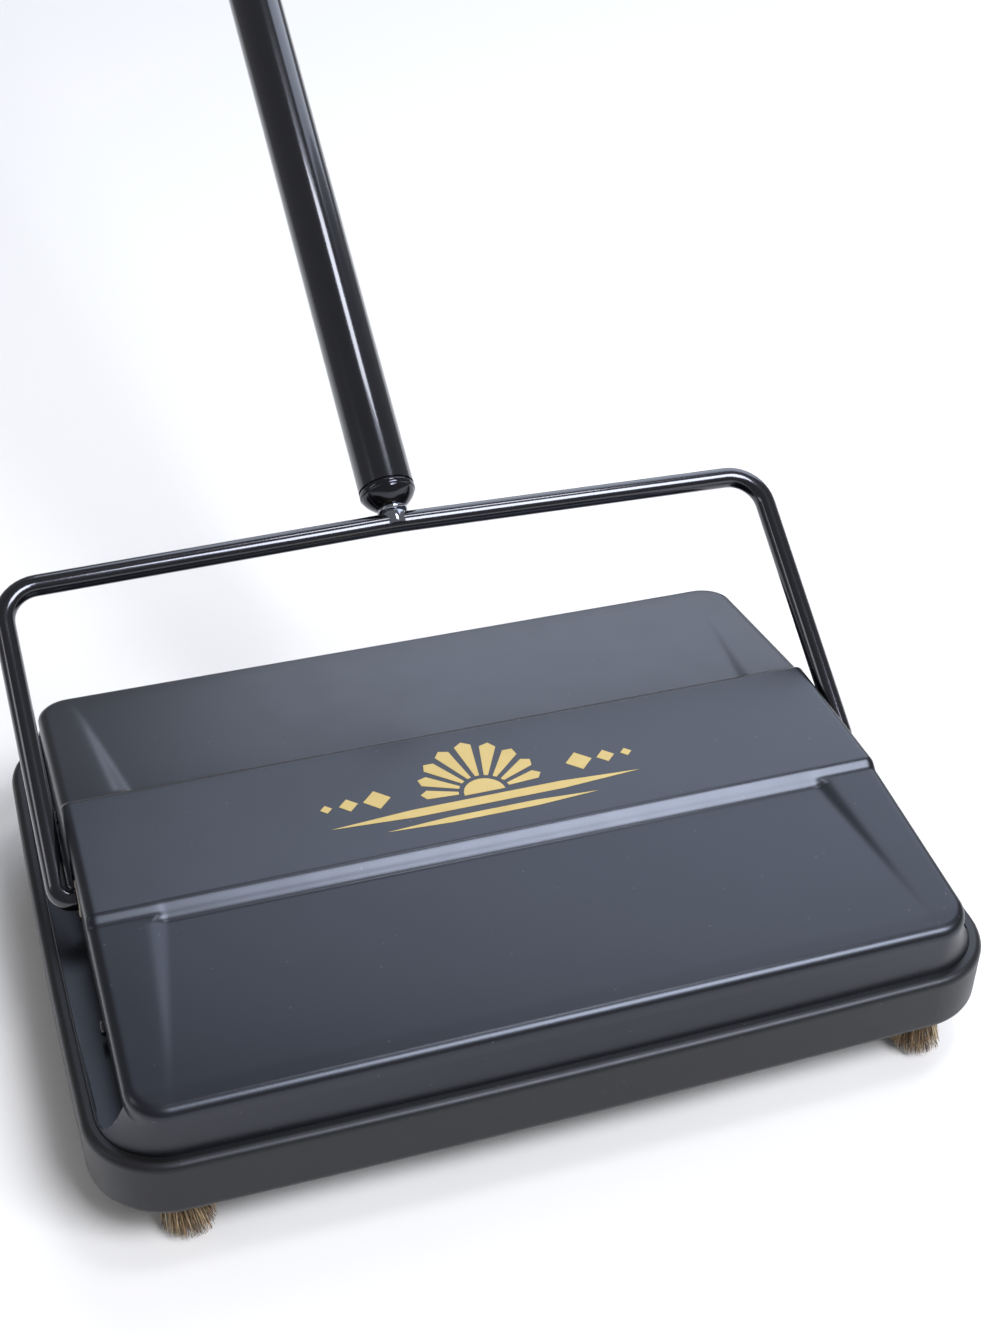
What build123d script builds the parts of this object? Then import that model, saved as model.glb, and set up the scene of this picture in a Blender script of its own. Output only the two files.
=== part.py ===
from build123d import *
import os
from math import cos, radians, sin, sqrt

os.makedirs("parts", exist_ok=True)

# A push-along carpet sweeper, in millimetres. X runs across the case, +Y points to the rear, where the
# handle leans, +Z is up, and the origin is on the floor under the middle of the case.

# ---------------------------------------------------------------- case lid
lid_half_x = 125.0  # side walls of the raised lid
lid_half_y = 95.5  # front and rear walls of the raised lid
lid_corner = 11.0  # plan radius at the lid's corners
lid_round = 3.0  # rolled edge between the roof and the walls
sheet = 0.8  # pressed steel
band_z = 62.0  # flat band across the middle
band_half_y = 26.0
eave_z = 51.5  # roof height at the front and rear walls
step_run = 4.0  # length of the sloped step beside the band
border_step = 1.3  # how far the panels' borders lie below the band's own slope
recess_step = 3.2  # the same for the wedge recess between the creases
step_fade_inset = 7.5  # from the front or rear wall to where the border meets the unbroken slope again
recess_fade_inset = 11.5
crease_inset = 22.0  # from the lid's side wall to the recess floor beside the band
crease_spread = 9.0  # how much wider the recess is where it fades out
crease_run = 5.5  # width of the recess's sloped side

# ---------------------------------------------------------------- skirt, side channels and bumper
skirt_side = 8.8  # how far the skirt stands out past the lid's side walls
skirt_end = 1.2  # and past its front and rear walls
skirt_corner = 20.0
skirt_bow = 1.5  # how far each side of the skirt bows out between its corners
skirt_bottom_z = 16.2
shoulder_z = 35.0  # the skirt stands upright below this height
skirt_top_z = 46.0  # and leans in to meet the lid at this one
channel_z = 34.5  # floor of the channel on each side
channel_inset = 11.5  # from the front or rear wall to the channel's end
channel_end_round = 3.2
bumper_wall = 3.8
bumper_bottom_z = 15.0
bumper_top_z = 35.0
bumper_hook = 1.2  # lip that hooks under the skirt
bumper_top_round = 2.4
bumper_foot_round = 3.0

# ---------------------------------------------------------------- bail, tilting about an axis along X
bail_pivot_z = 46.0
bail_lean = 57.3  # degrees back from upright, at rest
rod_r = 3.5
bail_foot_out = 5.0  # how far the legs stand out past the lid's side walls, at the pivot
bail_spread = 1.1  # and how much wider they are at the top corners
bail_height = 103.5  # pivot to the top corners
bail_peak = 2.7  # rise of the top bar at its middle
foot_bend = 4.6
top_bend = 12.0
peak_bend = 300.0
rod_end_in = 6.5  # how far the rod's ends reach in past the side walls
arch_r = 14.0  # opening in the lid's side round the bail's foot
notch_depth = 1.6
notch_count = 11
notch_span = 200.0  # degrees of the arch that the notches fill

# ---------------------------------------------------------------- handle
tube_r = 9.525
tube_wall = 0.5
tube_length = 290.0
tube_start = 119.2  # distance of the tube's foot from the pivot
spigot_length = 28.0
tube_gap = 0.4
collar_r = 4.4
collar_rise = 1.7  # from the top of the bail's bar to the collar's end
shank_r = 3.0
shank_top = 128.0
ring_r = 5.2
ring_height = 1.5
plug_rim_height = 2.1
plug_groove = 0.6
plug_insert = 24.0
grip_r = 12.5
grip_length = 120.0
grip_overlap = 60.0
grip_hollow = 30.0
hang_hole_r = 4.0
hang_hole_inset = 11.0
grip_end_thick = 14.0

# ---------------------------------------------------------------- inner frame
plate_thick = 1.2
plate_bottom_z = 13.0
plate_low_inset = 35.5
plate_end_z = 26.0
plate_head_gap = 1.0  # room between the plate's top and the lid's rolled edge
rail_thick = 1.0
rail_web_inset = 9.0
rail_bottom_z = 24.0
rail_top_z = 45.0
rail_flange_inset_y = 1.6
rail_flange_inset_x = 12.0
tab_length = 12.0
tab_low_z = 30.0
tab_high_z = 43.0
rivet_r = 1.5
cover_rivet_y = 48.0
cover_rivet_z = 39.0
frame_rivet_inset = 15.5
frame_rivet_z = 37.0

# ---------------------------------------------------------------- roller brush, wheels and pans
run_fit = 0.05  # radial clearance of a turning fit
bristle_r = 27.0
bristle_lift = 0.5  # brush tips over the floor, at rest on a hard floor
core_r = 12.0
core_end_gap = 5.6  # from the pulleys to the core's ends
row_end_gap = 1.0  # from the core's ends to the rows'
row_gap = 0.05
row_root = 5.0
row_tip = 8.0
row_twist = 60.0
row_count = 4
shaft_r = 3.0
pulley_r = 12.5
wheel_r = 19.0
wheel_lift = 0.2
drive_gap = 0.3
wheel_inset = 10.4  # from the side walls to the wheels' inner faces
wheel_width = 7.0
tyre_depth = 5.0
tyre_width = 6.4
hub_web = 2.4
hub_rim = 2.2
hub_boss_r = 4.6
axle_r = 2.0
axle_head_r = 4.0
clip_r = 4.2
clip_thick = 0.8
bush_wall = 2.0
bush_flange = 1.5
bush_flange_thick = 1.0
bush_out = 1.8

hinge_inset = 4.5
hinge_z = 14.0
hinge_rod_r = 2.0
hinge_rod_inset = 21.5
knuckle_r = 3.2
knuckle_inset = 53.0
knuckle_length = 50.0
lug_inner_x = 20.0
lug_outer_inset = 24.0
lug_thick = 2.5
pan_sheet = 0.6
pan_side_inset = 14.0
pan_corner_x = 10.5  # corners cut back to pass the bristle tufts
pan_corner_y = 10.5
pan_outer_inset = 16.0
pan_top_z = 22.5
pan_foot_gap = 9.0  # from the bristles' reach to the tray's foot
lip_gap = 4.5
lip_z = 22.0
tab_half_x = 12.0
tab_depth = 12.0
finger_drop = 4.3
finger_thick = 1.5
spring_wire_r = 0.5
spring_r = 3.1
spring_pitch = 1.4
spring_turns = 10

# ---------------------------------------------------------------- corner bristle tufts
tuft_inset_x = 11.0
tuft_inset_y = 8.5
socket_r = 6.5
socket_foot_z = 13.5
tuft_root_r = 5.0
tuft_root_top_z = 22.0
tuft_tip_r = 8.2
tuft_splay = 3.5  # how far the tips are pushed outwards

# ---------------------------------------------------------------- derived sizes
crease_x = lid_half_x - crease_inset
step_fade_y = lid_half_y - step_fade_inset
recess_fade_y = lid_half_y - recess_fade_inset
skirt_half_x = lid_half_x + skirt_side
skirt_half_y = lid_half_y + skirt_end
channel_half_y = lid_half_y - channel_inset
bail_foot_x = lid_half_x + bail_foot_out
bail_top_x = bail_foot_x + bail_spread
rod_end_x = lid_half_x - rod_end_in
bar_top = bail_height + bail_peak + rod_r
collar_top = bar_top + collar_rise
plate_half_y = lid_half_y - lid_corner
plate_low_y = lid_half_y - plate_low_inset
rail_web_y = lid_half_y - rail_web_inset
rail_flange_y = lid_half_y - rail_flange_inset_y
rail_flange_x = lid_half_x - rail_flange_inset_x
frame_rivet_y = lid_half_y - frame_rivet_inset
wheel_inner_x = lid_half_x - wheel_inset
core_half_x = wheel_inner_x - core_end_gap
row_half_x = core_half_x - row_end_gap
shaft_half_x = lid_half_x
hinge_y = lid_half_y - hinge_inset
hinge_rod_half_x = lid_half_x - hinge_rod_inset
knuckle_x = lid_half_x - knuckle_inset
lug_outer_x = lid_half_x - lug_outer_inset
lug_xs = (-lug_outer_x, -lug_inner_x, lug_inner_x, lug_outer_x)
pan_half_x = lid_half_x - pan_side_inset
pan_outer_y = lid_half_y - pan_outer_inset
pan_foot_y = bristle_r + pan_foot_gap
lip_y = bristle_r + lip_gap
tuft_x = lid_half_x - tuft_inset_x
tuft_y = lid_half_y - tuft_inset_y
roof_slope = (band_z - eave_z) / (lid_half_y - band_half_y)
plate_outer_x = lid_half_x - sheet
plate_inner_x = plate_outer_x - plate_thick
brush_z = bristle_r + bristle_lift
wheel_z = wheel_r + wheel_lift
drive_distance = pulley_r + wheel_r + drive_gap
wheel_y = sqrt(drive_distance**2 - (brush_z - wheel_z) ** 2)
wheel_outer_x = wheel_inner_x + wheel_width
lean_y = sin(radians(bail_lean))
lean_z = cos(radians(bail_lean))
tubes_end = tube_start + 3 * tube_length + 2 * tube_gap
pan_bottom_z = hinge_z - knuckle_r
sides = ((-1, "left"), (1, "right"))
ends = ((-1, "front"), (1, "rear"))


def roof_z(y):
    """Height of the unbroken roof slope at a distance y from the middle."""
    return band_z - roof_slope * (y - band_half_y)


def side_plane(x):
    """The plane across X at x, whose own axes are Y and Z."""
    return Plane.YZ.offset(x)


def handle_plane(distance):
    """The plane square to the handle, at a distance from the bail's pivot."""
    origin = (0, lean_y * distance, bail_pivot_z + lean_z * distance)
    return Plane(origin=origin, x_dir=(1, 0, 0), z_dir=(0, lean_y, lean_z))


bail_plane = Plane(origin=(0, 0, bail_pivot_z), x_dir=(1, 0, 0), z_dir=(0, -lean_z, lean_y))
handle_axis = Axis((0, 0, bail_pivot_z), (0, lean_y, lean_z))


def outline(z, half_x, half_y, corner, bow=0.0):
    """A rounded rectangle at height z, whose four sides bow out by bow at their middles."""
    x = half_x - bow
    y = half_y - bow
    with BuildSketch(Plane.XY.offset(z)) as plan:
        with BuildLine():
            if bow > 0:
                ThreePointArc((-x, -y), (0, -half_y), (x, -y))
                ThreePointArc((x, -y), (half_x, 0), (x, y))
                ThreePointArc((x, y), (0, half_y), (-x, y))
                ThreePointArc((-x, y), (-half_x, 0), (-x, -y))
            else:
                Polyline((-x, -y), (x, -y), (x, y), (-x, y), close=True)
        make_face()
        fillet(plan.vertices(), corner)
    return plan.sketch


def lid_outline(z, grow=0.0):
    """The lid's plan, grown by grow."""
    return outline(z, lid_half_x + grow, lid_half_y + grow, lid_corner + grow)


def skirt_outline(z, grow=0.0):
    """The skirt's plan, grown by grow."""
    return outline(z, skirt_half_x + grow, skirt_half_y + grow, skirt_corner + grow, skirt_bow)


def lid_form(inset):
    """The lid's solid form; with an inset of one sheet it is the hollow inside the lid."""
    reach = lid_half_y + lid_round
    step_y = band_half_y + step_run
    border_z = roof_z(step_y) - border_step
    recess_z = roof_z(step_y) - recess_step
    above_z = band_z + lid_round
    with BuildPart() as lid:
        extrude(lid_outline(channel_z - sheet, -inset), amount=above_z)
        with BuildSketch(Plane.YZ) as roof:
            Polygon(
                (-reach, 0),
                (reach, 0),
                (reach, roof_z(reach) - inset),
                (band_half_y, band_z - inset),
                (-band_half_y, band_z - inset),
                (-reach, roof_z(reach) - inset),
                align=None,
            )
        extrude(amount=lid_half_x + lid_round, both=True, mode=Mode.INTERSECT)
        top_edges = lid.edges().filter_by(lambda e: e.center().Z > eave_z - inset - 1)
        ridges = top_edges.filter_by(Axis.X).filter_by(lambda e: abs(e.center().Y) < band_half_y + 1)
        fillet(top_edges - ridges, lid_round - inset)
        for side, _ in ends:
            with BuildSketch(Plane.YZ) as border:
                Polygon(
                    (side * band_half_y, band_z - inset),
                    (side * step_y, border_z - inset),
                    (side * step_fade_y, roof_z(step_fade_y) - inset),
                    (side * step_fade_y, above_z),
                    (side * band_half_y, above_z),
                    align=None,
                )
            extrude(amount=lid_half_x + lid_round, both=True, mode=Mode.SUBTRACT)
            stations = (
                (band_half_y, band_z + 0.05, 0.0),
                (step_y + 0.5, recess_z, 0.0),
                (recess_fade_y, roof_z(recess_fade_y), crease_spread),
            )
            for y, floor_z, spread in stations:
                floor_x = crease_x + spread + inset
                rise = above_z - floor_z
                top_x = floor_x + crease_run * rise / (recess_step - border_step)
                with BuildSketch(Plane.XZ.offset(-side * y)):
                    Polygon(
                        (-floor_x, floor_z - inset),
                        (floor_x, floor_z - inset),
                        (top_x, above_z - inset),
                        (-top_x, above_z - inset),
                        align=None,
                    )
            loft(ruled=True, mode=Mode.SUBTRACT)
    return lid.part


def skirt_form(inset):
    """The skirt's solid form: upright at its foot, then leaning in to the lid's walls."""
    turn_z = shoulder_z - inset
    with BuildPart() as skirt:
        extrude(skirt_outline(skirt_bottom_z, -inset), amount=turn_z - skirt_bottom_z)
        lower = skirt_outline(turn_z, -inset).faces()[0]
        upper = lid_outline(skirt_top_z - inset, -inset).faces()[0]
        loft([lower, upper])
    return skirt.part


def channel_form(grow, wall_inset, lip):
    """The strip outside the lid's side walls that the channels take out of the skirt."""
    half_y = channel_half_y + grow
    with BuildSketch(Plane.XY.offset(channel_z - grow)) as strip:
        add(skirt_outline(0, -lip))
        Rectangle(4 * skirt_half_x, 2 * half_y, mode=Mode.INTERSECT)
        cut_ends = strip.vertices().filter_by(lambda v: half_y - abs(v.Y) < 0.01)
        fillet(cut_ends, channel_end_round)
        Rectangle(2 * (lid_half_x - wall_inset), 4 * half_y, mode=Mode.SUBTRACT)
    with BuildPart() as channel:
        extrude(strip.sketch, amount=skirt_top_z)
    return channel.part


def arch_form(side):
    """The notched opening in one of the lid's side walls, round the bail's foot."""
    step = notch_span / (notch_count - 1)
    with BuildSketch(side_plane(side * (lid_half_x - lid_round))) as arch:
        with Locations((0, bail_pivot_z)):
            Circle(arch_r - notch_depth)
        with Locations((0, (bail_pivot_z + channel_z) / 2)):
            Rectangle(2 * (arch_r - notch_depth), bail_pivot_z - channel_z)
        for index in range(notch_count):
            angle = radians(90 - notch_span / 2 + step * index)
            across = radians(step * 0.42)
            hub = (0.0, bail_pivot_z)
            tips = [
                (r * cos(a), hub[1] + r * sin(a))
                for r, a in ((arch_r - 3, angle - across), (arch_r, angle), (arch_r - 3, angle + across))
            ]
            Polygon(hub, *tips, align=None)
        with Locations((0, channel_z + 2 * arch_r)):
            Rectangle(4 * arch_r, 4 * arch_r, mode=Mode.INTERSECT)
    with BuildPart() as cut:
        extrude(arch.sketch, amount=side * 2 * lid_round)
    return cut.part


def cylinder_x(x0, x1, radius, y, z):
    """A round bar along X from x0 to x1."""
    with BuildPart() as bar:
        with BuildSketch(side_plane(x0)):
            with Locations((y, z)):
                Circle(radius)
        extrude(amount=x1 - x0)
    return bar.part


# ================================================================ case
skirt_shell = channel_form(0.0, 0.0, sheet)
with BuildPart() as skirt_outer:
    add(skirt_form(0.0))
    add(skirt_shell, mode=Mode.SUBTRACT)

with BuildPart() as skirt_hollow:
    add(skirt_form(sheet))
    add(channel_form(sheet, sheet, -sheet), mode=Mode.SUBTRACT)

with BuildPart() as top_cover:
    add(lid_form(0.0))
    add(skirt_outer.part)
    add(lid_form(sheet), mode=Mode.SUBTRACT)
    add(skirt_hollow.part, mode=Mode.SUBTRACT)
    for side, _ in sides:
        add(arch_form(side), mode=Mode.SUBTRACT)
        for y in (-cover_rivet_y, cover_rivet_y):
            shank = cylinder_x(side * plate_inner_x, side * (lid_half_x + 1), rivet_r, y, cover_rivet_z)
            add(shank, mode=Mode.SUBTRACT)

with BuildPart() as furniture_bumper:
    extrude(skirt_outline(bumper_bottom_z, bumper_wall), amount=bumper_top_z - bumper_bottom_z)
    extrude(skirt_outline(skirt_bottom_z), amount=bumper_top_z, mode=Mode.SUBTRACT)
    extrude(skirt_outline(bumper_bottom_z, -bumper_hook), amount=bumper_top_z, mode=Mode.SUBTRACT)
    outer_edges = furniture_bumper.faces().sort_by(Axis.Z)[-1].outer_wire().edges()
    fillet(outer_edges, bumper_top_round)
    foot_edges = furniture_bumper.faces().sort_by(Axis.Z)[0].outer_wire().edges()
    fillet(foot_edges, bumper_foot_round)

# ================================================================ inner frame
end_plates = {}
for side, name in sides:
    with BuildPart() as end_plate:
        with BuildSketch(side_plane(side * plate_inner_x)):
            head_drop = lid_round + border_step + plate_head_gap
            Polygon(
                (-plate_low_y, plate_bottom_z),
                (plate_low_y, plate_bottom_z),
                (plate_half_y, plate_end_z),
                (plate_half_y, roof_z(plate_half_y) - head_drop),
                (band_half_y, band_z - head_drop),
                (-band_half_y, band_z - head_drop),
                (-plate_half_y, roof_z(plate_half_y) - head_drop),
                (-plate_half_y, plate_end_z),
                align=None,
            )
            with Locations((0, bail_pivot_z)):
                Circle(rod_r + run_fit + bush_wall, mode=Mode.SUBTRACT)
            with Locations((0, brush_z)):
                Circle(shaft_r + run_fit + bush_wall, mode=Mode.SUBTRACT)
            with Locations((-wheel_y, wheel_z), (wheel_y, wheel_z)):
                Circle(axle_r, mode=Mode.SUBTRACT)
            with Locations((-cover_rivet_y, cover_rivet_z), (cover_rivet_y, cover_rivet_z)):
                Circle(rivet_r, mode=Mode.SUBTRACT)
            with Locations((-frame_rivet_y, frame_rivet_z), (frame_rivet_y, frame_rivet_z)):
                Circle(rivet_r, mode=Mode.SUBTRACT)
        extrude(amount=side * plate_thick)
    end_plates[name] = end_plate.part

rails = {}
for end, name in ends:
    with BuildPart() as rail:
        with BuildSketch(Plane.YZ):
            web_out = rail_web_y + rail_thick
            Polygon(
                (end * rail_web_y, rail_bottom_z),
                (end * web_out, rail_bottom_z),
                (end * web_out, rail_top_z),
                (end * rail_web_y, rail_top_z),
                align=None,
            )
        extrude(amount=plate_inner_x, both=True)
        with BuildSketch(Plane.XY.offset(rail_bottom_z)):
            with Locations((0, end * (rail_flange_y + rail_web_y) / 2)):
                Rectangle(2 * rail_flange_x, rail_flange_y - rail_web_y)
        extrude(amount=rail_thick)
        for x in lug_xs:
            with BuildSketch(side_plane(x - lug_thick / 2)):
                with Locations((end * hinge_y, (hinge_z + rail_bottom_z) / 2)):
                    Rectangle(2 * knuckle_r, rail_bottom_z - hinge_z)
                with Locations((end * hinge_y, hinge_z)):
                    Circle(knuckle_r)
                    Circle(hinge_rod_r, mode=Mode.SUBTRACT)
            extrude(amount=lug_thick)
        for side, _ in sides:
            with BuildSketch(side_plane(side * plate_inner_x)):
                with Locations((end * (rail_web_y - tab_length / 2), (tab_low_z + tab_high_z) / 2)):
                    Rectangle(tab_length, tab_high_z - tab_low_z)
                with Locations((end * frame_rivet_y, frame_rivet_z)):
                    Circle(rivet_r, mode=Mode.SUBTRACT)
            extrude(amount=-side * rail_thick)
    rails[name] = rail.part

with BuildPart() as cover_rivets:
    for side, _ in sides:
        for y in (-cover_rivet_y, cover_rivet_y):
            add(cylinder_x(side * plate_inner_x, side * lid_half_x, rivet_r, y, cover_rivet_z))
            with BuildPart(mode=Mode.PRIVATE) as head:
                add(cylinder_x(side * lid_half_x, side * (lid_half_x + 1.2), 2.2, y, cover_rivet_z))
                fillet(head.faces().sort_by(Axis.X)[0 if side < 0 else -1].edges(), 0.9)
            add(head.part)
            add(cylinder_x(side * (plate_inner_x - 0.8), side * plate_inner_x, 2.4, y, cover_rivet_z))

with BuildPart() as frame_rivets:
    tab_inner_x = plate_inner_x - rail_thick
    for side, _ in sides:
        for y in (-frame_rivet_y, frame_rivet_y):
            add(cylinder_x(side * tab_inner_x, side * plate_outer_x, rivet_r, y, frame_rivet_z))
            add(cylinder_x(side * (tab_inner_x - 0.8), side * tab_inner_x, 2.6, y, frame_rivet_z))


def flanged_bush(side, bore_r, z, outer_x):
    """A plain bearing in an end plate, with its flange inside."""
    sleeve_r = bore_r + bush_wall
    flange_x = plate_inner_x - bush_flange_thick
    with BuildPart() as bush:
        add(cylinder_x(side * flange_x, side * outer_x, sleeve_r, 0, z))
        add(cylinder_x(side * flange_x, side * plate_inner_x, sleeve_r + bush_flange, 0, z))
        add(cylinder_x(side * flange_x, side * outer_x, bore_r, 0, z), mode=Mode.SUBTRACT)
    return bush.part


bail_bushes = {name: flanged_bush(side, rod_r + run_fit, bail_pivot_z, lid_half_x) for side, name in sides}
brush_bearings = {
    name: flanged_bush(side, shaft_r + run_fit, brush_z, plate_outer_x + bush_out) for side, name in sides
}

# ================================================================ corner tufts
sockets = {}
tufts = {}
for end, end_name in ends:
    for side, side_name in sides:
        x = side * tuft_x
        y = end * tuft_y
        with BuildPart() as socket:
            with BuildSketch(Plane.XY.offset(socket_foot_z)):
                with Locations((x, y)):
                    Circle(socket_r)
            extrude(amount=rail_bottom_z - socket_foot_z)
            with BuildSketch(Plane.XY.offset(socket_foot_z)):
                with Locations((x, y)):
                    Circle(tuft_root_r)
            extrude(amount=tuft_root_top_z - socket_foot_z, mode=Mode.SUBTRACT)
            foot = socket.faces().sort_by(Axis.Z)[0].outer_wire().edges()
            fillet(foot, (socket_r - tuft_root_r) / 2)
        sockets[f"{end_name}_{side_name}"] = socket.part
        with BuildPart() as tuft:
            with BuildSketch(Plane.XY.offset(socket_foot_z)) as root:
                with Locations((x, y)):
                    Circle(tuft_root_r)
            extrude(amount=tuft_root_top_z - socket_foot_z)
            with BuildSketch(Plane.XY) as tips:
                with Locations((x - side * tuft_splay / 3, y + end * tuft_splay)):
                    Circle(tuft_tip_r)
            loft([tips.sketch.faces()[0], root.sketch.faces()[0]])
        tufts[f"{end_name}_{side_name}"] = tuft.part

# ================================================================ roller brush
with BuildPart() as brush_shaft:
    add(cylinder_x(-shaft_half_x, shaft_half_x, shaft_r, 0, brush_z))
    chamfer(brush_shaft.edges(), 0.4)

with BuildPart() as brush_core:
    add(cylinder_x(-core_half_x, core_half_x, core_r, 0, brush_z))
    chamfer(brush_core.edges(), 1.0)
    add(cylinder_x(-core_half_x, core_half_x, shaft_r, 0, brush_z), mode=Mode.SUBTRACT)

bristle_rows = []
for index in range(row_count):
    turn = radians(index * 360 / row_count - row_twist / 2)
    row_start = (-row_half_x, 0, brush_z)
    row_plane = Plane(origin=row_start, x_dir=(0, cos(turn), sin(turn)), z_dir=(1, 0, 0))
    with BuildSketch(row_plane) as row_section:
        Polygon(
            (core_r + row_gap, -row_root / 2),
            (bristle_r - 0.3, -row_tip / 2),
            (bristle_r, 0),
            (bristle_r - 0.3, row_tip / 2),
            (core_r + row_gap, row_root / 2),
            (core_r + row_gap + 0.4, 0),
            align=None,
        )
    twisted = Solid.extrude_linear_with_rotation(
        row_section.sketch.faces()[0], row_start, (2 * row_half_x, 0, 0), row_twist
    )
    with BuildPart() as bristle_row:
        add(twisted)
    bristle_rows.append(bristle_row.part)

pulleys = {}
for side, name in sides:
    with BuildPart() as pulley:
        add(cylinder_x(side * wheel_inner_x, side * wheel_outer_x, pulley_r, 0, brush_z))
        chamfer(pulley.edges(), 0.5)
        add(cylinder_x(side * wheel_inner_x, side * wheel_outer_x, shaft_r, 0, brush_z), mode=Mode.SUBTRACT)
    pulleys[name] = pulley.part

# ================================================================ wheels
hubs = {}
tyres = {}
for end, end_name in ends:
    for side, side_name in sides:
        y = end * wheel_y
        tyre_bore = wheel_r - tyre_depth
        middle_x = side * (wheel_inner_x + wheel_width / 2)
        with BuildPart() as hub:
            with BuildSketch(side_plane(middle_x)) as rim:
                with Locations((y, wheel_z)):
                    Circle(tyre_bore)
                    Circle(tyre_bore - hub_rim, mode=Mode.SUBTRACT)
            extrude(amount=tyre_width / 2, both=True)
            with BuildSketch(side_plane(middle_x)) as disc:
                with Locations((y, wheel_z)):
                    Circle(tyre_bore - hub_rim / 2)
            extrude(amount=hub_web / 2, both=True)
            with BuildSketch(side_plane(middle_x)) as boss:
                with Locations((y, wheel_z)):
                    Circle(hub_boss_r)
            extrude(amount=wheel_width / 2, both=True)
            bore = cylinder_x(side * wheel_inner_x, side * wheel_outer_x, axle_r + run_fit, y, wheel_z)
            add(bore, mode=Mode.SUBTRACT)
        hubs[f"{end_name}_{side_name}"] = hub.part
        with BuildPart() as tyre:
            with BuildSketch(side_plane(middle_x)) as ring:
                with Locations((y, wheel_z)):
                    Circle(wheel_r)
            extrude(amount=tyre_width / 2, both=True)
            fillet(tyre.edges(), 1.0)
            with BuildSketch(side_plane(middle_x)) as bore:
                with Locations((y, wheel_z)):
                    Circle(tyre_bore)
            extrude(amount=tyre_width / 2, both=True, mode=Mode.SUBTRACT)
        tyres[f"{end_name}_{side_name}"] = tyre.part

with BuildPart() as wheel_axles:
    for side, _ in sides:
        for y in (-wheel_y, wheel_y):
            axle_end = wheel_inner_x - 2 * clip_thick - 0.6
            add(cylinder_x(side * axle_end, side * plate_outer_x, axle_r, y, wheel_z))
            add(cylinder_x(side * plate_outer_x, side * (plate_outer_x + 1.4), axle_head_r, y, wheel_z))

with BuildPart() as axle_clips:
    for side, _ in sides:
        for y in (-wheel_y, wheel_y):
            clip_x = wheel_inner_x - 0.4
            clip_end = clip_x - clip_thick
            add(cylinder_x(side * clip_end, side * clip_x, clip_r, y, wheel_z))
            add(cylinder_x(side * clip_end, side * clip_x, axle_r, y, wheel_z), mode=Mode.SUBTRACT)

# ================================================================ dust pans
pans = {}
pan_tabs = {}
hinge_rods = {}
springs = {}
for end, name in ends:
    with BuildPart() as pan:
        with BuildSketch(Plane.YZ) as tray:
            Polygon(
                (end * pan_outer_y, pan_bottom_z),
                (end * pan_outer_y, pan_top_z),
                (end * lip_y, lip_z),
                (end * pan_foot_y, pan_bottom_z),
                align=None,
            )
        extrude(amount=pan_half_x, both=True)
        outer_face = pan.faces().filter_by(Axis.Y).sort_by(Axis.Y)[0 if end < 0 else -1]
        for corner in outer_face.edges().filter_by(Axis.Z):
            chamfer(corner, pan_corner_x, pan_corner_y, reference=outer_face)
        offset(amount=-pan_sheet, openings=pan.faces().sort_by(Axis.Z)[-1])
        for side, _ in sides:
            x0 = side * knuckle_x - knuckle_length / 2
            with BuildSketch(Plane.XY.offset(pan_bottom_z)) as leaf:
                with Locations((side * knuckle_x, end * (hinge_y + pan_outer_y - pan_sheet) / 2)):
                    Rectangle(knuckle_length, hinge_y - pan_outer_y + pan_sheet)
            extrude(amount=pan_sheet)
            add(cylinder_x(x0, x0 + knuckle_length, knuckle_r, end * hinge_y, hinge_z))
            bore = cylinder_x(x0, x0 + knuckle_length, hinge_rod_r + run_fit, end * hinge_y, hinge_z)
            add(bore, mode=Mode.SUBTRACT)
    pans[name] = pan.part

    with BuildPart() as pan_tab:
        tab_y = pan_foot_y + 4
        with BuildSketch(Plane.YZ) as tab_section:
            Polygon(
                (end * tab_y, pan_bottom_z),
                (end * (tab_y + tab_depth), pan_bottom_z),
                (end * (tab_y + tab_depth), pan_bottom_z - finger_thick),
                (end * (tab_y + finger_thick), pan_bottom_z - finger_thick),
                (end * (tab_y + finger_thick), pan_bottom_z - finger_drop),
                (end * tab_y, pan_bottom_z - finger_drop),
                align=None,
            )
        extrude(amount=tab_half_x, both=True)
    pan_tabs[name] = pan_tab.part

    hinge_rods[name] = cylinder_x(-hinge_rod_half_x, hinge_rod_half_x, hinge_rod_r, end * hinge_y, hinge_z)

    coil_length = spring_pitch * spring_turns
    with BuildPart() as spring:
        with BuildLine() as coil:
            Helix(
                pitch=spring_pitch,
                height=coil_length,
                radius=spring_r,
                center=(-coil_length / 2, end * hinge_y, hinge_z),
                direction=(1, 0, 0),
            )
        with BuildSketch(Plane(origin=coil.line @ 0, z_dir=coil.line % 0)):
            Circle(spring_wire_r)
        sweep(path=coil.line)
    springs[name] = spring.part

# ================================================================ bail and handle
with BuildPart() as bail:
    with BuildLine(bail_plane) as bail_line:
        FilletPolyline(
            (-rod_end_x, 0),
            (-bail_foot_x, 0),
            (-bail_top_x, bail_height),
            (0, bail_height + bail_peak),
            (bail_top_x, bail_height),
            (bail_foot_x, 0),
            (rod_end_x, 0),
            radius=[foot_bend, top_bend, peak_bend, top_bend, foot_bend],
        )
    with BuildSketch(side_plane(-rod_end_x)) as rod_section:
        with Locations((0, bail_pivot_z)):
            Circle(rod_r)
    sweep(path=bail_line.line)

with BuildPart() as bail_clips:
    for side, _ in sides:
        clip_x = plate_inner_x - bush_flange_thick - 0.4
        clip_end = clip_x - clip_thick
        add(cylinder_x(side * clip_end, side * clip_x, rod_r + bush_flange, 0, bail_pivot_z))
        add(cylinder_x(side * clip_end, side * clip_x, rod_r, 0, bail_pivot_z), mode=Mode.SUBTRACT)


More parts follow.
